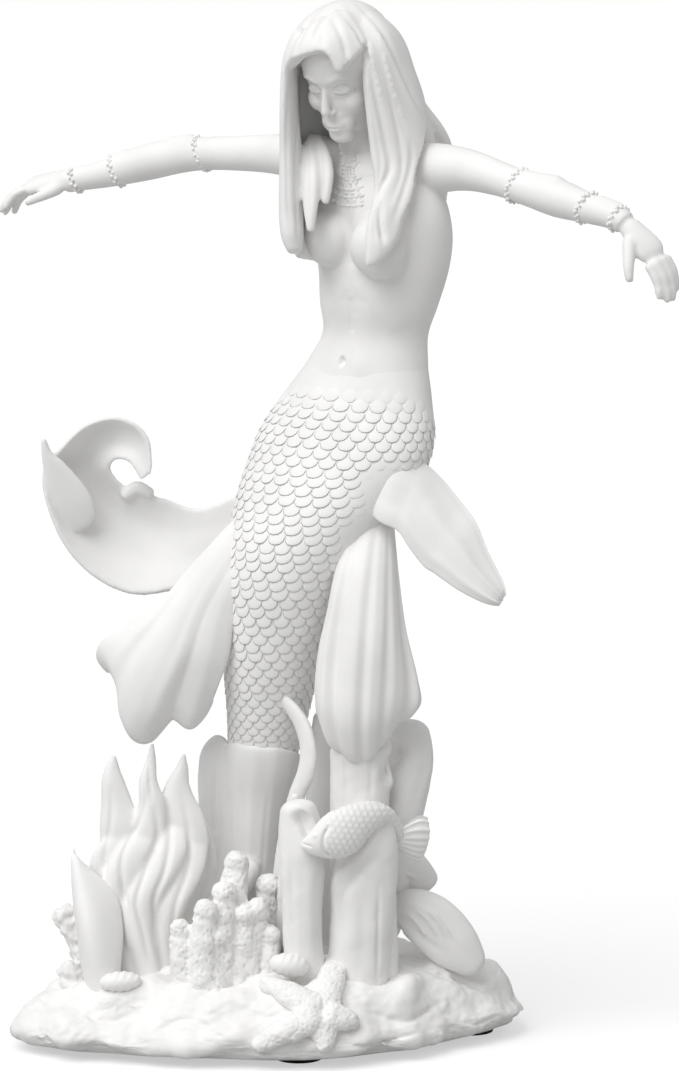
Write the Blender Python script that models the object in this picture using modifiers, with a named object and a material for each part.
"""Mermaid figurine: one resin casting with her rock and sea life, standing on four stick-on pads.

Every form is a closed loft or ellipsoid. The forms of the casting overlap, and are fused and
smoothed into one body, as the casting was. Lengths are in millimetres and turned into metres at
the end. Points are (x, y, z) with z measured from the casting's underside, -Y facing the viewer.
Her right is the viewer's left.
"""
import math

import bmesh
import bpy
import numpy as np
from mathutils import Matrix, Vector

MM = 0.001
COLLECTION = "mermaid_figurine"

# Pads under the rock
PAD_DIAMETER = 12.0
PAD_THICKNESS = 1.2
PAD_EDGE_ROUND = 0.25
SEAT_GAP = 0.3
PAD_INSET = 7.0
PAD_FRONT_SHIFT = 8.0
PAD_BACK_SHIFT = -4.0
PAD_LEFT_SHIFT = -6.0
PAD_RIGHT_SHIFT = 4.0
PAD_END_INSET = 2.0

# Rock base
ROCK_LENGTH = 136.0
ROCK_DEPTH = 80.0
ROCK_HEIGHT = 20.0
ROCK_ROUGHNESS = 1.1

# Figure: her height from the casting's underside, and how far apart her fingertips are, to the sides
# and from front to back
FIGURE_HEIGHT = 269.65
ARM_SPAN = 174.2
ARM_STAGGER = 124.8
SHOULDER_BREADTH = 44.0
HIP_BREADTH = 50.0
BREAST_DIAMETER = 17.0
HEAD_HEIGHT = 31.0
ARM_THICKNESS = 8.4
PALM_WIDTH = 8.4
FINGER_THICKNESS = 2.5
LOCK_THICKNESS = 6.0
SLEEVE_RIM = 0.9

# Fins and sea life
FIN_THICKNESS = 2.2
PLEAT_DEPTH = 1.2
LEAF_THICKNESS = 4.0
SPONGE_DEPTH = 11.0
SPONGE_WALL = 2.4
CORAL_THICKNESS = 7.0
FISH_DEPTH = 8.0
STARFISH_THICKNESS = 5.0

# The casting's grain: the size at which forms flow together, and the faces that are kept
FUSE_SIZE = 0.9
KEPT_FACES = 0.04

# Middle of the arm span and of the depth, which stands over the origin
SPAN_MIDDLE = (-1.2, 0.9)
# Middle of the rock's footprint, and of the figure's head
ROCK_MIDDLE = (-16.0, -2.5)
HEAD_MIDDLE = (4.5, -6.0, 251.5)


def unit(vectors):
    """Vectors of length one."""
    return vectors / np.maximum(np.linalg.norm(vectors, axis=-1, keepdims=True), 1e-9)


def read_along(rows, share):
    """A smooth curve through evenly spaced rows, read at shares from 0 to 1."""
    rows = np.asarray(rows, float)
    place = np.clip(share, 0.0, 1.0) * (len(rows) - 1)
    first = np.minimum(place.astype(int), len(rows) - 2)
    f = (place - first)[..., None]
    before, start = rows[np.maximum(first - 1, 0)], rows[first]
    end, after = rows[first + 1], rows[np.minimum(first + 2, len(rows) - 1)]
    curve = 2 * start + (end - before) * f
    curve += (2 * before - 5 * start + 4 * end - after) * f ** 2
    curve += (3 * start - before - 3 * end + after) * f ** 3
    return curve / 2


def loft(mesh, place, around=20, steps=20):
    """A closed body from place(u, v): u runs once around, v from end to end, and both ends are filled."""
    verts = bmesh.ops.create_grid(mesh, x_segments=around, y_segments=steps, size=0.5)["verts"]
    share = np.array([tuple(vert.co) for vert in verts]) + 0.5
    for vert, point in zip(verts, place(share[:, 0], share[:, 1])):
        vert.co = point
    bmesh.ops.remove_doubles(mesh, verts=verts, dist=1e-4)
    rims = [edge for edge in mesh.edges if edge.is_boundary]
    bmesh.ops.holes_fill(mesh, edges=rims, sides=0)


def column(mesh, rows, around=28, steps=60):
    """A body of level rings: each row is z, x, y, half breadth, front depth, back depth, turn."""
    def place(u, v):
        row = read_along(rows, v)
        turn = np.radians(row[:, 6])
        across, ahead = np.cos(2 * np.pi * u), np.sin(2 * np.pi * u)
        depth = np.where(ahead > 0, row[:, 4], row[:, 5]) * ahead
        breadth = row[:, 3] * across
        x = row[:, 1] + breadth * np.cos(turn) - depth * np.sin(turn)
        y = row[:, 2] - breadth * np.sin(turn) - depth * np.cos(turn)
        return np.column_stack([x, y, row[:, 0]])
    loft(mesh, place, around, steps)


def limb(mesh, rows, side, around=14, steps=20, thickness=None):
    """A body along a path: each row is x, y, z, half width, half thickness.

    The width lies along the given side. With a thickness, the rows hold only the half width.
    """
    points = np.asarray(rows, float)
    length = np.linalg.norm(np.diff(points[:, :3], axis=0), axis=1).sum()
    round_off = np.clip(points[[0, -1], 3] / length, 0.02, 0.3)

    def place(u, v):
        row = read_along(rows, v)
        near_end = np.maximum(1 - v / round_off[0], 1 - (1 - v) / round_off[1]).clip(0, 0.98)
        row[:, 3:] *= np.sqrt(1 - near_end ** 2)[:, None]
        path = row[:, :3]
        ahead = unit(read_along(rows, v + 0.01)[:, :3] - read_along(rows, v - 0.01)[:, :3])
        wide = unit(np.asarray(side, float) - ahead * (ahead @ np.asarray(side, float))[:, None])
        thin = np.cross(ahead, wide)
        half = row[:, 4] if thickness is None else np.minimum(row[:, 3], thickness / 2)
        across = (row[:, 3] * np.cos(2 * np.pi * u))[:, None]
        through = (half * np.sin(2 * np.pi * u))[:, None]
        return path + wide * across + thin * through
    loft(mesh, place, around, steps)


def sheet(mesh, ribs, thickness, pleats=0, pleat_depth=0.0, across=26, steps=26):
    """A fin: a thin body over a surface through its ribs, each a list of points from root to edge."""
    def surface(s, v):
        points = np.stack([read_along(rib, v) for rib in ribs])
        place = np.clip(s, 0.0, 1.0) * (len(ribs) - 1)
        first = np.minimum(place.astype(int), len(ribs) - 2)
        f = (place - first)[:, None]
        pick = np.arange(len(s))
        before, start = points[np.maximum(first - 1, 0), pick], points[first, pick]
        end, after = points[first + 1, pick], points[np.minimum(first + 2, len(ribs) - 1), pick]
        curve = 2 * start + (end - before) * f
        curve += (2 * before - 5 * start + 4 * end - after) * f ** 2
        curve += (3 * start - before - 3 * end + after) * f ** 3
        return curve / 2

    def place(u, v):
        s = 0.5 - 0.5 * np.cos(2 * np.pi * u)
        side = np.sin(2 * np.pi * u)
        step = 0.02
        along_s = surface(s + step, v) - surface(s - step, v)
        along_v = surface(s, v + step) - surface(s, v - step)
        normal = unit(np.cross(along_s, along_v))
        rim = np.clip(np.minimum(v, 1 - v) * 12, 0.3, 1.0)
        lift = np.sign(side) * np.abs(side) ** 0.6 * rim * thickness / 2
        lift = lift + pleat_depth * np.sin(2 * np.pi * pleats * s) * np.clip(v * 2, 0, 1)
        return surface(s, v) + normal * lift[:, None]
    loft(mesh, place, 2 * across, steps)


def ball(mesh, centre, radii, frame=Matrix.Identity(3)):
    """An ellipsoid with its axes along the columns of a frame."""
    shape = frame @ Matrix.Diagonal(Vector(radii))
    matrix = Matrix.Translation(Vector(centre)) @ shape.to_4x4()
    bmesh.ops.create_uvsphere(mesh, u_segments=20, v_segments=14, radius=1.0, matrix=matrix)


def facing(turn, nod):
    """Axes of a body turned to her right and nodding down: her left, forward and up."""
    t, n = math.radians(turn), math.radians(nod)
    left = Vector((math.cos(t), -math.sin(t), 0))
    forward = Vector((-math.sin(t) * math.cos(n), -math.cos(t) * math.cos(n), -math.sin(n)))
    up = forward.cross(left)
    return Matrix((left, forward, up)).transposed()


def stand(stations, height_at=2):
    """Stations of the figure as they were drawn, with their heights following hers."""
    placed = np.array(stations, float)
    placed[..., height_at] *= FIGURE_HEIGHT / 269.65
    return placed


def reach(stations):
    """Stations of her arms and hands, which follow the span of her arms too."""
    placed = stand(stations)
    placed[..., 0] *= ARM_SPAN / 174.2
    placed[..., 1] *= ARM_STAGGER / 124.8
    return placed


def torso_and_tail(mesh):
    """Neck, torso, hips, tail and the smooth trunk below the scales, down into the rock."""
    chest, hip = SHOULDER_BREADTH / 2, HIP_BREADTH / 2
    column(mesh, stand([
        (241.0, 5.5, -2.5, 5.6, 5.4, 5.8, 40), (236.0, 7.0, 0.0, 6.0, 5.8, 6.4, 42),
        (231.0, 8.5, 2.0, 8.5, 7.0, 8.0, 43), (227.5, 9.8, 2.5, 15.0, 8.5, 9.5, 43),
        (223.0, 11.0, 1.5, chest - 2, 10.5, 10.5, 43), (217.0, 12.4, 0.5, chest, 12.2, 11.5, 43),
        (209.0, 13.6, 0.3, chest - 0.4, 12.8, 12.4, 43), (200.0, 13.8, 0.6, chest - 2.2, 12.4, 11.8, 42),
        (191.0, 12.8, 1.3, 17.6, 11.3, 10.0, 39), (183.5, 12.0, 2.0, 15.3, 10.5, 9.0, 36),
        (176.0, 10.0, 1.8, 17.2, 11.0, 10.0, 33), (167.0, 7.1, 1.0, hip - 3.8, 11.6, 12.5, 31),
        (158.0, 4.4, 0.0, hip - 0.4, 12.8, 14.5, 30), (150.0, 1.9, -1.5, hip, 13.8, 15.0, 28),
        (141.0, -2.2, -3.0, hip - 2, 14.8, 14.5, 24), (131.0, -7.0, -4.5, hip - 5.4, 14.6, 13.5, 19),
        (120.0, -11.2, -5.0, 16.6, 13.5, 12.5, 15), (108.0, -13.8, -4.5, 14.3, 12.0, 11.0, 10),
        (96.0, -15.2, -3.5, 12.3, 10.5, 9.5, 5), (84.0, -16.2, -1.5, 10.5, 9.0, 8.5, 0),
        (72.0, -17.6, 1.0, 8.9, 8.0, 7.5, 0), (59.0, -19.5, 3.0, 7.4, 7.0, 6.5, 0),
        (44.0, -21.3, 4.5, 7.3, 7.0, 6.5, 0), (31.0, -22.5, 5.0, 8.6, 8.0, 7.5, 0),
        (18.0, -23.5, 5.0, 12.0, 10.0, 10.0, 0), (5.0, -24.0, 5.0, 15.0, 12.0, 12.0, 0)], 0))
    frame = facing(43, 12)
    for centre in ((-0.8, -2.8, 207.2), (11.6, -16.2, 204.8)):
        r = BREAST_DIAMETER / 2
        ball(mesh, stand(centre), (r * 0.96, r * 0.92, r * 0.94), frame)


def arm(mesh, path):
    """An arm as a round limb: each row of the path is x, y, z and its share of the arm's thickness."""
    rows = [(x, y, z, s * ARM_THICKNESS / 2, s * ARM_THICKNESS / 2) for x, y, z, s in reach(path)]
    limb(mesh, rows, (0, 0, 1), 16, 40)


def cuff(mesh, centre, ahead, radius):
    """The ruffled rim of a wrapped sleeve: a thick disc across the arm."""
    ahead = Vector(ahead).normalized()
    start, end = Vector(reach(centre)) - ahead * 0.8, Vector(reach(centre)) + ahead * 0.8
    rows = [(*start.lerp(end, share), radius, radius) for share in (0, 0.5, 1)]
    limb(mesh, rows, (0.1, 0.2, 1), 16, 4)


def fingers(mesh, tips, knuckles, middle_lift):
    """Four fingers from their knuckles to their tips, arched by the lift of the middle joint."""
    r = FINGER_THICKNESS / 2
    for knuckle, tip in zip(knuckles, tips):
        knuckle, tip = Vector(reach(knuckle)), Vector(reach(tip))
        middle = knuckle.lerp(tip, 0.5) + Vector(middle_lift)
        rows = [(*knuckle, r * 1.1, r * 1.1), (*middle, r, r), (*tip, r * 0.7, r * 0.7)]
        limb(mesh, rows, (0.3, 0.9, 0.2), 10, 10)


def arms_and_hands(mesh):
    """Both arms stretched out, the sleeves' rims and the hands."""
    arm(mesh, [
        (3.0, 3.0, 226.0, 1.8), (-6.5, 10.0, 228.2, 1.5), (-14.5, 18.0, 228.5, 1.24),
        (-24.0, 28.0, 228.0, 1.1), (-33.0, 36.0, 227.4, 1.06), (-40.0, 42.0, 226.4, 1.12),
        (-48.5, 46.5, 224.4, 1.16), (-58.5, 50.5, 221.4, 0.94), (-67.5, 53.5, 219.2, 0.74),
        (-71.0, 54.6, 218.4, 0.72)])
    arm(mesh, [
        (16.0, -2.0, 225.0, 1.75), (27.5, -11.0, 228.0, 1.45), (35.5, -19.5, 227.3, 1.2),
        (43.0, -28.0, 225.4, 1.06), (50.0, -35.0, 223.2, 1.0), (57.5, -41.0, 221.4, 1.14),
        (65.0, -47.0, 219.3, 0.9), (71.2, -52.0, 217.6, 0.76), (73.6, -53.9, 216.0, 0.7)])
    r = ARM_THICKNESS / 2 + SLEEVE_RIM
    cuff(mesh, (-37.5, 40.0, 226.8), (-0.85, 0.3, -0.35), r)
    cuff(mesh, (-57.0, 50.0, 221.9), (-0.85, 0.3, -0.35), r * 0.88)
    cuff(mesh, (-68.0, 53.6, 219.1), (-0.85, 0.3, -0.35), r * 0.76)
    cuff(mesh, (53.0, -37.5, 222.2), (0.7, -0.6, -0.35), r)
    cuff(mesh, (66.5, -48.0, 218.6), (0.7, -0.6, -0.35), r * 0.86)
    cuff(mesh, (72.2, -52.6, 217.2), (0.7, -0.6, -0.4), r * 0.76)
    palm = PALM_WIDTH / 2
    limb(mesh, reach([
        (-69.0, 54.0, 219.0, 2.8, 2.8), (-73.5, 55.5, 218.7, palm * 0.85, 2.6),
        (-79.0, 57.0, 217.4, palm, 2.4), (-82.0, 58.0, 215.9, palm * 0.95, 2.0)]), (0.3, 0.85, 0.35), 14, 12)
    fingers(mesh, ((-87.4, 55.0, 210.9), (-88.6, 58.0, 209.9), (-87.6, 60.8, 209.0), (-85.4, 63.2, 209.0)),
            ((-80.5, 54.8, 216.6), (-80.8, 56.8, 216.8), (-80.6, 59.0, 216.5), (-80.0, 61.0, 215.8)),
            (-0.6, 0.0, 1.2))
    thumb = FINGER_THICKNESS / 2
    limb(mesh, reach([
        (-71.5, 53.0, 217.6, 2.0, 2.0), (-76.0, 51.5, 215.4, thumb * 1.25, thumb * 1.25),
        (-81.3, 51.0, 213.0, thumb * 0.8, thumb * 0.8)]), (0, 1, 0.2), 10, 10)
    limb(mesh, reach([
        (73.3, -53.5, 216.6, 2.7, 2.5), (76.3, -55.5, 213.6, palm * 0.85, 2.4),
        (79.2, -57.0, 209.2, palm, 2.0), (80.8, -57.8, 205.6, palm * 0.95, 1.7)]), (0.75, 0.3, 0.55), 14, 12)
    fingers(mesh, ((80.2, -60.5, 197.6), (82.0, -59.8, 197.1), (83.6, -58.6, 197.6), (84.6, -57.2, 199.6)),
            ((77.9, -59.2, 205.2), (79.9, -58.6, 206.3), (81.8, -57.6, 207.0), (83.4, -56.4, 207.3)),
            (0.9, -0.3, 0.4))
    limb(mesh, reach([
        (74.3, -56.0, 213.2, 2.0, 2.0), (74.0, -59.5, 207.4, thumb * 1.25, thumb * 1.25),
        (74.2, -61.0, 202.3, thumb * 0.8, thumb * 0.8)]), (0.7, 0.3, 0.3), 10, 10)


def head(mesh):
    """Skull and a plain face with brow, nose, lips and chin, bent forward and turned to her right."""
    frame = facing(33, 24)
    middle = Vector(stand(HEAD_MIDDLE))
    size = HEAD_HEIGHT / 31.0
    rows = [
        (15.3, 3.0, 3.5, 4.0), (13.0, 7.8, 9.2, 9.5), (9.0, 10.2, 12.2, 12.6), (4.5, 10.7, 13.0, 13.2),
        (1.8, 10.6, 13.0, 13.0), (-0.5, 10.4, 11.7, 12.5), (-4.0, 10.0, 12.2, 11.5),
        (-7.5, 9.0, 12.6, 9.5), (-10.5, 7.6, 12.6, 6.0), (-13.2, 5.6, 11.6, 2.5), (-15.3, 3.4, 10.0, 0.0)]

    def place(u, v):
        row = read_along(rows, v) * size
        across, ahead = np.cos(2 * np.pi * u), np.sin(2 * np.pi * u)
        depth = np.where(ahead > 0, row[:, 2], row[:, 3]) * ahead
        local = np.column_stack([row[:, 1] * across, depth, row[:, 0]])
        return local @ np.array(frame.transposed()) + np.array(middle)
    loft(mesh, place, 28, 30)
    nose = middle + frame @ Vector((0, 12.6, -3.4)) * size
    ball(mesh, nose, (1.7 * size, 2.6 * size, 3.4 * size), facing(33, 36))


def hair(mesh):
    """Long straight hair: a cap, a hood of strands around the back, a front sheet and loose locks."""
    frame = facing(33, 24)
    middle = Vector(stand(HEAD_MIDDLE))
    ball(mesh, middle + frame @ Vector((0, -2.6, 4.6)), (12.0, 12.6, 13.2), frame)
    column(mesh, stand([
        (260.0, 8.0, -2.0, 9.0, 5.0, 8.0, 36), (250.0, 10.5, 2.0, 12.5, 6.0, 8.5, 38),
        (241.0, 13.0, 5.5, 14.0, 7.0, 8.5, 40), (232.0, 15.5, 8.0, 15.0, 8.0, 7.0, 43),
        (221.0, 17.5, 10.0, 14.0, 6.0, 6.5, 43), (209.0, 19.0, 11.5, 10.0, 4.0, 5.0, 43),
        (200.0, 20.0, 12.0, 5.0, 2.5, 3.0, 43)], 0), 24, 26)
    hood = [
        [(0.5, -11.5, 265.5), (-5.8, -13.6, 260.0), (-7.4, -13.6, 252.5), (-7.2, -12.0, 243.0),
         (-6.6, -10.0, 233.0), (-6.0, -9.5, 222.0), (-6.6, -11.0, 211.0), (-7.2, -12.5, 203.5)],
        [(1.5, -9.5, 267.5), (-5.8, -8.5, 261.8), (-9.0, -7.0, 253.0), (-9.4, -5.0, 243.0),
         (-9.4, -3.0, 232.0), (-10.2, -3.0, 220.0), (-9.9, -5.0, 210.0), (-8.4, -8.5, 202.5)],
        [(3.0, -6.0, 268.5), (-4.6, -2.0, 263.0), (-8.4, 1.5, 255.0), (-9.0, 4.5, 244.0),
         (-7.5, 8.0, 232.0), (-3.0, 12.5, 220.0), (2.0, 14.5, 208.0), (8.0, 15.5, 199.0)],
        [(4.5, -4.0, 268.8), (3.0, 4.0, 264.0), (2.5, 9.5, 255.0), (4.0, 13.5, 245.0),
         (7.0, 16.5, 233.0), (10.0, 18.5, 220.0), (13.5, 18.5, 208.0), (17.0, 17.0, 197.0)],
        [(6.0, -4.0, 268.5), (10.5, 2.0, 262.0), (13.5, 6.5, 254.0), (17.0, 9.5, 244.0),
         (21.0, 12.0, 234.0), (24.0, 12.0, 222.0), (25.5, 11.5, 210.0), (23.5, 11.5, 199.0)],
        [(6.5, -6.0, 268.0), (14.0, -3.0, 260.5), (18.2, -2.0, 251.5), (23.4, -1.0, 243.0),
         (29.0, 1.0, 236.0), (31.6, 4.5, 230.0), (30.5, 8.0, 220.0), (28.0, 9.5, 209.0)]]
    sheet(mesh, stand(hood), LOCK_THICKNESS * 0.7, 11, LOCK_THICKNESS * 0.06, 44, 36)
    front = [
        [(4.5, -11.0, 266.5), (9.5, -16.5, 259.0), (8.4, -18.8, 249.5), (8.9, -18.6, 241.0),
         (9.8, -18.2, 231.0), (10.4, -18.8, 221.0), (9.6, -21.0, 212.0), (8.6, -24.0, 202.0)],
        [(5.5, -9.5, 267.5), (13.5, -13.0, 260.0), (14.6, -15.4, 250.5), (15.8, -15.6, 241.0),
         (16.4, -15.8, 231.0), (15.4, -17.6, 221.0), (13.0, -21.0, 212.0), (11.6, -24.0, 203.0)],
        [(6.0, -7.5, 268.0), (15.8, -8.5, 259.8), (19.0, -10.0, 250.5), (21.4, -10.6, 241.5),
         (22.4, -12.0, 231.5), (20.8, -15.0, 221.5), (18.4, -18.4, 212.5), (16.0, -22.0, 204.0)],
        [(6.5, -6.0, 268.0), (16.0, -5.0, 259.5), (20.2, -5.5, 250.5), (23.8, -6.0, 242.5),
         (26.2, -8.0, 235.5), (26.0, -11.6, 228.0), (23.6, -15.0, 221.0), (20.2, -17.0, 214.5)]]
    sheet(mesh, stand(front), LOCK_THICKNESS * 0.6, 6, LOCK_THICKNESS * 0.06, 30, 36)
    fringe = [
        [(1.0, -11.0, 265.5), (-4.2, -14.2, 262.0), (-8.0, -14.4, 257.0)],
        [(1.5, -11.5, 265.5), (-2.4, -16.6, 262.0), (-5.0, -19.0, 257.2)],
        [(2.5, -11.5, 265.8), (0.5, -18.0, 261.0), (-0.4, -20.6, 254.5)],
        [(3.5, -11.5, 266.0), (4.0, -18.2, 260.0), (3.0, -20.4, 251.0)],
        [(4.5, -11.0, 266.0), (7.5, -17.6, 259.0), (6.8, -19.6, 251.0)]]
    sheet(mesh, stand(fringe), LOCK_THICKNESS * 0.5, across=20, steps=14)
    for lock in (
            [(-7.0, -4.0, 241.0, 1.6), (-5.6, -7.0, 231.0, 2.2), (-4.8, -10.5, 222.0, 2.1), (-4.8, -13.2, 210.5, 0.9)],
            [(-4.6, -3.0, 237.0, 1.5), (-3.0, -7.0, 229.5, 1.9), (-1.2, -11.0, 217.5, 1.1)]):
        limb(mesh, stand(lock), (0.84, -0.54, 0), 14, 24, LOCK_THICKNESS * 0.7)


def curled_fin(mesh):
    """The big fin at her right hip: a bowl that sweeps out and curls over at its tip."""
    inner = [
        (-20.0, 2.0, 143.0), (-33.8, 4.0, 137.2), (-43.0, 5.0, 139.5), (-50.8, 5.0, 141.3),
        (-55.2, 4.0, 144.3), (-57.2, 3.0, 147.3), (-56.6, 2.0, 149.6), (-54.8, 1.0, 150.5),
        (-52.6, 0.0, 150.1), (-50.8, -1.0, 148.4), (-49.0, -2.0, 145.0)]
    outer = [
        (-22.0, 1.0, 121.0), (-42.2, -1.0, 116.0), (-52.8, -2.0, 115.8), (-63.2, -3.0, 121.8),
        (-70.7, -3.0, 132.0), (-74.4, -2.0, 146.0), (-69.2, -1.0, 154.2), (-62.4, -1.0, 160.0),
        (-54.0, -1.0, 161.4), (-47.4, -2.0, 156.8), (-46.0, -3.0, 147.0)]
    bowl = (1.0, 2.5, 4.5, 6.0, 7.0, 6.5, 5.0, 4.0, 3.0, 2.0, 0.5)
    ribs = []
    for share in (0.0, 0.15, 0.35, 0.65, 0.88, 1.0):
        sink = 4 * share * (1 - share)
        ribs.append([tuple(np.array(a) * (1 - share) + np.array(b) * share + (0, depth * sink, 0))
                     for a, b, depth in zip(inner, outer, bowl)])
    sheet(mesh, stand(ribs), FIN_THICKNESS, across=22, steps=44)
    limb(mesh, stand([(-71.5, -2.0, 145.0, 2.4), (-72.8, -2.2, 150.5, 1.4), (-73.2, -2.5, 154.0, 0.6)]),
         (1, 0, 0), 10, 8, FIN_THICKNESS)


def skirt_fin(mesh):
    """The fin below it, a skirt of three lobes whose edges tuck under."""
    sheet(mesh, stand([
        [(-22.0, -3.0, 138.0), (-36.0, -6.0, 123.2), (-42.5, -8.0, 116.0), (-53.4, -10.0, 107.6),
         (-60.2, -9.0, 102.4), (-61.2, -6.5, 97.2), (-58.6, -4.0, 94.0)],
        [(-22.0, -5.0, 135.0), (-35.5, -9.0, 119.0), (-43.9, -13.0, 107.0), (-50.6, -14.5, 99.5),
         (-53.8, -12.0, 94.0), (-54.2, -9.0, 91.5), (-52.2, -6.5, 89.6)],
        [(-22.0, -6.0, 132.0), (-33.5, -11.0, 115.3), (-40.7, -16.0, 100.4), (-46.5, -15.0, 88.3),
         (-47.6, -11.0, 82.6), (-47.6, -7.5, 79.6), (-46.0, -5.0, 79.4)],
        [(-22.0, -7.0, 129.0), (-31.7, -11.5, 112.7), (-36.1, -14.5, 101.0), (-39.0, -13.5, 92.0),
         (-40.4, -11.5, 87.5), (-40.4, -9.0, 85.2), (-39.6, -7.0, 85.2)],
        [(-22.0, -8.0, 127.0), (-28.9, -12.0, 111.0), (-31.7, -14.0, 99.0), (-34.4, -13.0, 89.5),
         (-36.0, -11.5, 84.0), (-36.4, -9.5, 81.6), (-35.8, -8.0, 82.0)],
        [(-22.0, -9.0, 125.0), (-25.5, -11.0, 111.0), (-28.0, -11.5, 99.0), (-31.2, -11.0, 91.0),
         (-33.0, -10.5, 86.5), (-33.6, -9.5, 84.5), (-33.6, -8.5, 84.2)]]),
        FIN_THICKNESS * 1.3, 7, PLEAT_DEPTH * 0.4, 26, 26)


def fan_fin(mesh):
    """The pleated fan that hangs from her left hip in front of the tail."""
    sheet(mesh, stand([
        [(9.0, -9.0, 141.0), (3.9, -17.0, 126.6), (0.1, -18.5, 114.5), (-3.0, -19.5, 103.0),
         (-4.6, -19.5, 93.0), (-3.0, -17.0, 86.0)],
        [(10.0, -9.5, 141.0), (6.5, -20.0, 124.0), (3.9, -22.5, 109.5), (1.8, -23.0, 96.5),
         (1.2, -23.0, 86.5), (1.8, -19.5, 80.0)],
        [(12.0, -10.0, 140.0), (10.3, -21.0, 124.5), (9.0, -25.0, 109.5), (7.8, -26.0, 94.5),
         (7.3, -25.0, 84.0), (7.3, -21.0, 77.5)],
        [(14.0, -10.0, 139.0), (14.2, -20.0, 123.5), (14.4, -24.5, 109.0), (14.0, -25.5, 96.0),
         (13.4, -25.0, 87.0), (12.8, -21.0, 81.5)],
        [(17.0, -9.0, 138.0), (16.4, -17.0, 122.5), (18.4, -20.0, 108.0), (21.8, -21.0, 96.0),
         (22.8, -21.0, 90.0), (20.0, -18.5, 86.4)]]),
        FIN_THICKNESS * 1.4, 6, PLEAT_DEPTH, 30, 28)


def hip_fin(mesh):
    """The double-lobed fin at her left hip that points out and down."""
    sheet(mesh, stand([
        [(17.0, 0.0, 154.0), (25.5, -7.0, 148.0), (30.5, -11.0, 143.6), (35.8, -14.0, 137.8),
         (39.6, -17.0, 130.5), (42.1, -20.0, 123.7), (44.6, -22.0, 117.8)],
        [(15.0, -4.0, 150.0), (22.8, -12.0, 143.4), (28.4, -16.5, 139.0), (33.2, -20.0, 133.0),
         (37.0, -22.5, 126.8), (40.4, -24.0, 121.2), (44.2, -23.5, 116.8)],
        [(13.5, -7.0, 146.0), (19.5, -15.5, 138.6), (24.6, -20.0, 133.4), (29.2, -23.5, 128.4),
         (34.0, -25.5, 123.0), (38.8, -25.5, 118.8), (43.4, -24.0, 116.2)],
        [(12.0, -8.5, 142.0), (17.0, -15.5, 134.6), (21.5, -19.5, 128.8), (26.9, -23.0, 125.0),
         (32.0, -24.0, 121.2), (37.6, -24.5, 117.4), (42.8, -23.0, 116.2)]]),
        FIN_THICKNESS * 1.3, 4, PLEAT_DEPTH * 0.5, 22, 26)


def seat(x, y, z):
    """A point of the sea life, which moves with the rock's length and depth."""
    return (ROCK_MIDDLE[0] + (x - ROCK_MIDDLE[0]) * ROCK_LENGTH / 136.0,
            ROCK_MIDDLE[1] + (y - ROCK_MIDDLE[1]) * ROCK_DEPTH / 80.0, z)


def plant(mesh, rows, side, thickness, around=14, steps=20):
    """A limb that grows on the rock: rows of x, y, z and half width."""
    limb(mesh, [(*seat(x, y, z), half) for x, y, z, half in rows], side, around, steps, thickness)


def rock(mesh):
    """The rough rock, lower at its left end, inside an uneven outline."""
    outline = [(51, -3), (47, 15), (18, 33), (-18, 38), (-52, 31), (-77, 8), (-84, -16), (-76, -31), (-60, -37),
               (-33, -43), (-5, -45), (18, -36), (37, -20)]
    rings = [(0.01, -0.12), (0.5, -0.12), (0.93, -0.12), (0.985, -0.05), (1.0, 0.1), (0.965, 0.3),
             (0.9, 0.55), (0.81, 0.78), (0.66, 0.92), (0.45, 0.99), (0.22, 1.02), (0.01, 1.02)]
    edge = np.array([seat(x, y, 0) for x, y in outline])[:, :2] - ROCK_MIDDLE
    around = np.vstack([edge[-1:], edge, edge[:2]])

    def place(u, v):
        ring = read_along(rings, v)
        flat = read_along(around, (1 + u * len(edge)) / (len(around) - 1)) * ring[:, :1]
        x, y = flat[:, 0], flat[:, 1]
        tall = ROCK_HEIGHT * (1 + 0.3 * x / ROCK_LENGTH - 0.1 * y / ROCK_DEPTH)
        bump = np.sin(x / 5.1 + 1.3) * np.sin(y / 4.3) + 0.7 * np.sin(x / 2.7 - y / 3.1)
        above = np.clip(ring[:, 1] * 2, 0, 1)
        push = 1 + 0.02 * np.sin(10 * np.pi * u + v * 20) * above
        return np.column_stack([ROCK_MIDDLE[0] + x * push, ROCK_MIDDLE[1] + y * push,
                                ring[:, 1] * tall + bump * ROCK_ROUGHNESS * above])
    loft(mesh, place, 90, 44)


def trunk_leaves(mesh):
    """Smooth leaves around the trunk: the S-shaped strap, one at each side behind it, and the root."""
    plant(mesh, [(-17.0, -9.0, 99.0, 2), (-11.0, -11.5, 90.0, 4.5), (-7.2, -12.5, 80.0, 4.6),
                 (-7.8, -13.0, 68.0, 4), (-10.5, -12.0, 52.0, 4), (-12.0, -10.0, 34.0, 4.5),
                 (-12.0, -9.0, 6.0, 5)], (1, 0, 0), LEAF_THICKNESS * 1.2, 16, 34)
    plant(mesh, [(-28.3, 0.5, 76.5, 1.6), (-29.6, 1.0, 70.0, 3.6), (-29.0, 2.5, 56.0, 4.2),
                 (-28.5, 4.0, 40.0, 4), (-29.5, 5.0, 22.0, 5), (-30.0, 5.0, 5.0, 6)],
          (1, -0.3, 0), LEAF_THICKNESS, 14, 26)
    plant(mesh, [(-2.2, 0.0, 89.0, 2), (-2.2, 1.0, 72.0, 3.8), (-2.6, 1.5, 50.0, 4.4), (-3.0, 2.0, 28.0, 5),
                 (-3.0, 2.0, 5.0, 5.5)], (1, 0.3, 0), LEAF_THICKNESS, 14, 24)
    plant(mesh, [(-21.0, 1.0, 42.0, 4), (-27.0, -4.0, 30.0, 5), (-35.0, -8.0, 22.0, 5),
                 (-43.0, -10.0, 12.0, 4)], (0, 1, 1), LEAF_THICKNESS * 1.6, 14, 16)


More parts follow.
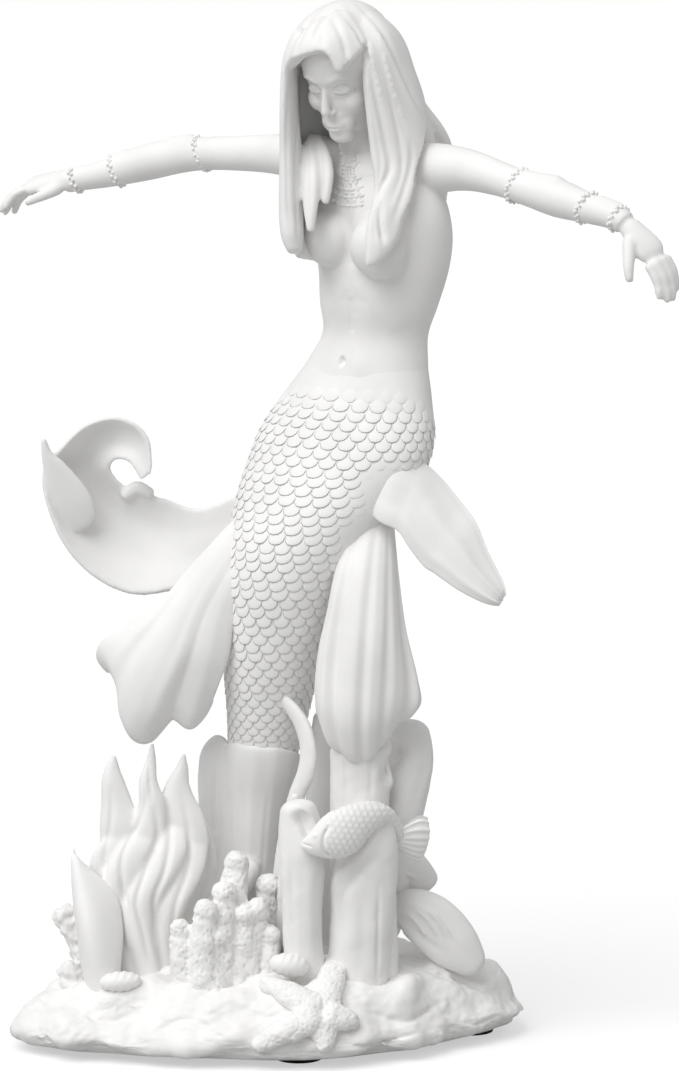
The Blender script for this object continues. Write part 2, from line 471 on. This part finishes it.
def seaweed(mesh):
    """The clump of five wavy blades at the left."""
    blades = [
        [(-50, -13, 4, 4.5), (-56, -15, 26, 5), (-58.8, -13, 40, 5.4), (-55.4, -10, 55, 4.8),
         (-54.6, -9, 66, 3.2), (-54.8, -8.5, 73.5, 1)],
        [(-47, -15, 4, 4.5), (-50.5, -18, 26, 5), (-52, -16, 40, 4.6), (-47.6, -13, 54, 5.0),
         (-45.3, -11.5, 66, 3.5), (-45.4, -11, 77, 0.7)],
        [(-44, -14, 4, 5), (-45, -17.5, 25, 5), (-40.5, -15, 38, 5), (-36.5, -12, 50, 5.2),
         (-37.4, -9, 62, 3.8), (-37.9, -8, 72.5, 1)],
        [(-42, -10, 4, 5), (-38.5, -12, 24, 5), (-33.8, -9, 38, 4.6), (-33.0, -6, 48, 4),
         (-34.0, -4, 57, 2.6), (-34.5, -3, 64, 0.8)],
        [(-46, -18, 4, 4), (-47.5, -20.5, 24, 3.4), (-46.2, -19, 38, 2.8), (-45.6, -16, 50, 0.8)]]
    for blade in blades:
        plant(mesh, blade, (1, -0.15, 0), LEAF_THICKNESS, 16, 30)


def pointed_leaf(mesh):
    """The pointed leaf at the far left and the two rough star arms behind it."""
    ribs = [
        [(-59.5, -19.0, 5.0), (-63.0, -18.5, 24.0), (-65.6, -17.5, 38.0), (-65.0, -16.0, 49.0)],
        [(-57.5, -22.0, 5.0), (-59.0, -24.5, 24.0), (-60.0, -22.5, 36.0), (-63.4, -17.0, 46.5)],
        [(-56.0, -20.0, 5.0), (-54.8, -21.5, 24.0), (-52.8, -18.5, 38.5), (-60.5, -17.0, 44.5)]]
    sheet(mesh, [[seat(*point) for point in rib] for rib in ribs], LEAF_THICKNESS * 0.7, across=16, steps=20)
    plant(mesh, [(-58, -12, 8, 5), (-64, -12, 26, 4.6), (-71.0, -10.5, 33.6, 2.8)], (0.3, 0, 1),
          LEAF_THICKNESS * 1.3)
    plant(mesh, [(-60, -14, 8, 5), (-66, -15, 16, 4), (-69.5, -15, 20, 2.4)], (0.3, 0, 1),
          LEAF_THICKNESS * 1.3)


def coral(mesh):
    """A lumpy branching coral in front of the trunk."""
    branches = [
        [(-31, -29, 4, 2.0), (-31, -28, 17, 1.8), (-28.5, -26, 28, 1.2), (-24, -24.5, 37.5, 0.9)],
        [(-25, -19, 6, 1.5), (-24, -18, 33, 1.1), (-24.2, -17, 47, 0.65)],
        [(-28, -25, 16, 1.4), (-27, -24.5, 32, 1.0), (-27, -23.5, 42, 0.8)],
        [(-32, -29, 12, 1.4), (-32.4, -27.5, 26, 1.1), (-31.8, -26.5, 38, 0.7)],
        [(-34, -27, 6, 1.4), (-37, -26, 24, 1.0), (-38.4, -25.5, 34, 0.6)],
        [(-22, -21, 6, 1.5), (-18.8, -21, 26, 1.1), (-18, -20.5, 39, 0.85)],
        [(-20, -21, 6, 1.3), (-15, -21.5, 22, 1.0), (-13.8, -21, 33, 0.6)],
        [(-17, -14, 8, 1.2), (-16, -14, 32, 1.0), (-16, -14.5, 42, 0.9)]]
    for branch in branches:
        plant(mesh, [(x, y, z, share * CORAL_THICKNESS / 2) for x, y, z, share in branch], (1, 0, 0),
              2 * CORAL_THICKNESS, 12, 16)


def sponge(mesh, path, lean):
    """A tube sponge: up its outside, over a slanting rim and down into its mouth."""
    rows = [(*seat(x, y, z), half, min(half, SPONGE_DEPTH / 2)) for x, y, z, half in path]
    x, y, z, half, depth = rows[-1]
    inside = half - SPONGE_WALL
    rows.append((x, y, z + 1.2, half - SPONGE_WALL / 2, depth - SPONGE_WALL / 2))
    hollow = [(x, y, z - 1.0, inside, depth - SPONGE_WALL), (x, y, z - 5.0, inside * 0.6, depth * 0.3)]

    def place(u, v):
        row = read_along(rows + hollow, v)
        across, ahead = np.cos(2 * np.pi * u), np.sin(2 * np.pi * u)
        height = np.clip(v * (len(rows) + 1) - (len(rows) - 3), 0, 1)
        slant = height * (lean[0] * across * row[:, 3] + lean[1] * ahead * row[:, 4])
        return np.column_stack([row[:, 0] + row[:, 3] * across, row[:, 1] + row[:, 4] * ahead,
                                row[:, 2] + slant])
    loft(mesh, place, 24, 40)


def sponges(mesh):
    """Two tube sponges in front, a flat one under the fan and the ear-shaped one at the back."""
    sponge(mesh, [(-6, -24, 4, 6.8), (-6.2, -26, 24, 6.0), (-6.8, -26, 42, 5.5), (-7.2, -25, 55, 5.8),
                  (-6.8, -24, 62, 5.4)], (-0.5, 0.5))
    sponge(mesh, [(8.5, -21, 4, 9.4), (8, -23, 24, 8.8), (8, -23, 38, 8.2), (8.4, -23, 50, 8.4),
                  (8.6, -22.5, 58, 8.0)], (0.15, 0.5))
    sponge(mesh, [(8.0, -12, 4, 8.6), (8.0, -13, 30, 8.2), (8.0, -14, 52, 7.8), (8.0, -15, 70, 8.0),
                  (8.0, -15, 78, 8.2)], (0.0, 0.2))
    ear = [
        [(13.0, -8.0, 5.0), (15.0, -8.0, 40.0), (16.0, -8.0, 58.0), (17.6, -8.0, 70.0), (21.0, -6.0, 79.0)],
        [(14.0, -1.0, 5.0), (16.0, -1.0, 40.0), (18.0, -0.5, 58.0), (20.0, -1.0, 70.0), (22.4, -3.0, 80.5)],
        [(18.0, 1.0, 5.0), (18.0, 0.0, 36.0), (22.4, 0.5, 54.0), (26.8, 0.0, 68.0), (24.4, -2.0, 80.0)],
        [(19.0, -6.0, 5.0), (18.6, -7.0, 36.0), (23.6, -6.5, 54.0), (27.6, -5.5, 67.0), (24.6, -4.5, 79.0)]]
    sheet(mesh, [[seat(*point) for point in rib] for rib in ear], SPONGE_WALL * 1.2, across=22, steps=24)
    plant(mesh, [(14.0, -8, 50, 2.6), (16.0, -9, 68, 2.6), (16.8, -10, 80, 1.8)], (1, 0, 0), LEAF_THICKNESS)


def fish(mesh):
    """The fish draped over the front sponges, with its tail fan at the right."""
    half = FISH_DEPTH / 2
    path = [(-7.4, -31, 56.4, 0.4), (-3.0, -32, 56.6, 1.05), (2.5, -31.5, 59.0, 1.5), (8.5, -29, 61.5, 1.65),
            (13.6, -25.5, 60.0, 1.4), (17.2, -21.5, 55.5, 0.9), (20.0, -19.5, 51.5, 0.6)]
    rows = [(*seat(x, y, z), half * share, half * share * 0.7) for x, y, z, share in path]
    limb(mesh, rows, (-0.2, 0, 1), 18, 30)
    plant(mesh, [(17.5, -20.5, 54.0, 2.2), (21.5, -18.5, 51.0, 4.6), (25.2, -17.0, 49.5, 6.2)], (0, 0, 1),
          LEAF_THICKNESS * 0.6)


def right_leaves(mesh):
    """Two oval leaves at the right, one over the other."""
    plant(mesh, [(14.5, -4, 22, 3), (17.0, -4, 36, 5.5), (22.0, -4.5, 40, 5.5), (28.0, -5, 33, 4)],
          (0.5, 0, 1), LEAF_THICKNESS)
    plant(mesh, [(15.5, -8, 32, 2.5), (20.5, -10, 31.5, 6.0), (26.5, -11, 28.5, 7.4), (33.0, -11, 23.0, 6.6),
                 (39.5, -10, 17.0, 3)], (0.5, 0, 1), LEAF_THICKNESS * 1.5, 18, 24)


def starfish(mesh):
    """The rough starfish lying down the front of the rock, with two shells beside the coral."""
    rise = ROCK_HEIGHT / 20.0
    middle = (-2.0, -34.5, 15.5 * rise)
    for tip in ((-18.0, -31.5, 20.5), (-20.5, -39.5, 6.5), (2.6, -27.5, 24.0), (9.0, -34.5, 13.0),
                (-0.5, -39.5, 4.0)):
        tip = (tip[0], tip[1], tip[2] * rise)
        bend = tuple((a + b) / 2 + lift for a, b, lift in zip(middle, tip, (0, -1.2, 1.0)))
        plant(mesh, [(*middle, 4.4), (*bend, 3.8), (*tip, 1.9)], (1, 0, 1), STARFISH_THICKNESS)
    ball(mesh, seat(-10.6, -28.5, 22.5 * rise), (5.2, 4.0, 3.2))
    ball(mesh, seat(-54.0, -26.5, 17.5 * rise), (5.4, 3.2, 2.6))


def fuse(mesh, name):
    """One closed casting from the overlapping forms: fused, smoothed, simplified and cut flat below."""
    source = bpy.data.meshes.new(name + "_forms")
    mesh.to_mesh(source)
    mesh.free()
    forms = bpy.data.objects.new(name + "_forms", source)
    bpy.context.scene.collection.objects.link(forms)
    remesh = forms.modifiers.new("fuse", "REMESH")
    remesh.mode = "VOXEL"
    remesh.voxel_size = FUSE_SIZE
    smooth = forms.modifiers.new("smooth", "SMOOTH")
    smooth.factor = 0.5
    smooth.iterations = 3
    simplify = forms.modifiers.new("simplify", "DECIMATE")
    simplify.ratio = KEPT_FACES
    fused = bpy.data.meshes.new_from_object(forms.evaluated_get(bpy.context.evaluated_depsgraph_get()))
    bpy.data.objects.remove(forms)
    body = bmesh.new()
    body.from_mesh(fused)
    keep_outer_skin(body)
    everything = body.verts[:] + body.edges[:] + body.faces[:]
    bmesh.ops.bisect_plane(body, geom=everything, dist=1e-4, plane_co=(0, 0, 0), plane_no=(0, 0, 1),
                           clear_inner=True)
    bmesh.ops.holes_fill(body, edges=[edge for edge in body.edges if edge.is_boundary], sides=0)
    bmesh.ops.triangulate(body, faces=body.faces[:])
    bmesh.ops.recalc_face_normals(body, faces=body.faces[:])
    return body


def keep_outer_skin(body):
    """Fill the pockets that the fused forms enclose, by keeping the largest connected skin."""
    body.verts.index_update()
    seen, skins = set(), []
    for start in body.verts:
        if start in seen:
            continue
        seen.add(start)
        skin, queue = [], [start]
        while queue:
            vert = queue.pop()
            skin.append(vert)
            for edge in vert.link_edges:
                other = edge.other_vert(vert)
                if other not in seen:
                    seen.add(other)
                    queue.append(other)
        skins.append(skin)
    skins.sort(key=len)
    for skin in skins[:-1]:
        bmesh.ops.delete(body, geom=skin, context="VERTS")


def material(name, colour, roughness):
    """A plain Principled material."""
    made = bpy.data.materials.new(name)
    made.use_nodes = True
    made.diffuse_color = (*colour, 1)
    shader = made.node_tree.nodes["Principled BSDF"]
    shader.inputs["Base Color"].default_value = (*colour, 1)
    shader.inputs["Roughness"].default_value = roughness
    shader.inputs["Metallic"].default_value = 0.0
    return made


def casting(collection):
    """The figure, her fins, the rock and the sea life as one white resin casting."""
    forms = bmesh.new()
    for model in (torso_and_tail, arms_and_hands, head, hair, curled_fin, skirt_fin, fan_fin, hip_fin, rock,
                  trunk_leaves, seaweed, pointed_leaf, coral, sponges, fish, right_leaves, starfish):
        model(forms)
    body = fuse(forms, "mermaid_casting")
    lift = Vector((-SPAN_MIDDLE[0], -SPAN_MIDDLE[1], PAD_THICKNESS + SEAT_GAP))
    bmesh.ops.translate(body, verts=body.verts, vec=lift)
    bmesh.ops.scale(body, verts=body.verts, vec=(MM, MM, MM))
    data = bpy.data.meshes.new("mermaid_casting")
    body.to_mesh(data)
    body.free()
    data.shade_smooth()
    data.materials.append(material("white_resin", (0.86, 0.85, 0.84), 0.6))
    collection.objects.link(bpy.data.objects.new("mermaid_casting", data))


def pads(collection):
    """Four round foam-rubber pads, a little in from the rock's edge."""
    reach_x = ROCK_LENGTH / 2 - PAD_INSET - PAD_DIAMETER / 2
    reach_y = ROCK_DEPTH / 2 - PAD_INSET - PAD_DIAMETER / 2
    places = {"pad_front": (PAD_FRONT_SHIFT, -reach_y), "pad_back": (PAD_BACK_SHIFT, reach_y),
              "pad_left": (-reach_x + PAD_END_INSET, PAD_LEFT_SHIFT),
              "pad_right": (reach_x - PAD_END_INSET, PAD_RIGHT_SHIFT)}
    for name, (x, y) in places.items():
        disc = bmesh.new()
        bmesh.ops.create_cone(disc, cap_ends=True, segments=48, radius1=PAD_DIAMETER / 2 * MM,
                              radius2=PAD_DIAMETER / 2 * MM, depth=PAD_THICKNESS * MM)
        data = bpy.data.meshes.new(name)
        disc.to_mesh(data)
        disc.free()
        data.materials.append(material(name + "_rubber", (0.02, 0.02, 0.02), 0.8))
        pad = bpy.data.objects.new(name, data)
        pad.location = Vector((ROCK_MIDDLE[0] + x - SPAN_MIDDLE[0], ROCK_MIDDLE[1] + y - SPAN_MIDDLE[1],
                               PAD_THICKNESS / 2)) * MM
        rounding = pad.modifiers.new("rounding", "BEVEL")
        rounding.width = PAD_EDGE_ROUND * MM
        rounding.segments = 2
        collection.objects.link(pad)


for leftover in list(bpy.data.objects):
    bpy.data.objects.remove(leftover)
parts = bpy.data.collections.new(COLLECTION)
bpy.context.scene.collection.children.link(parts)
casting(parts)
pads(parts)
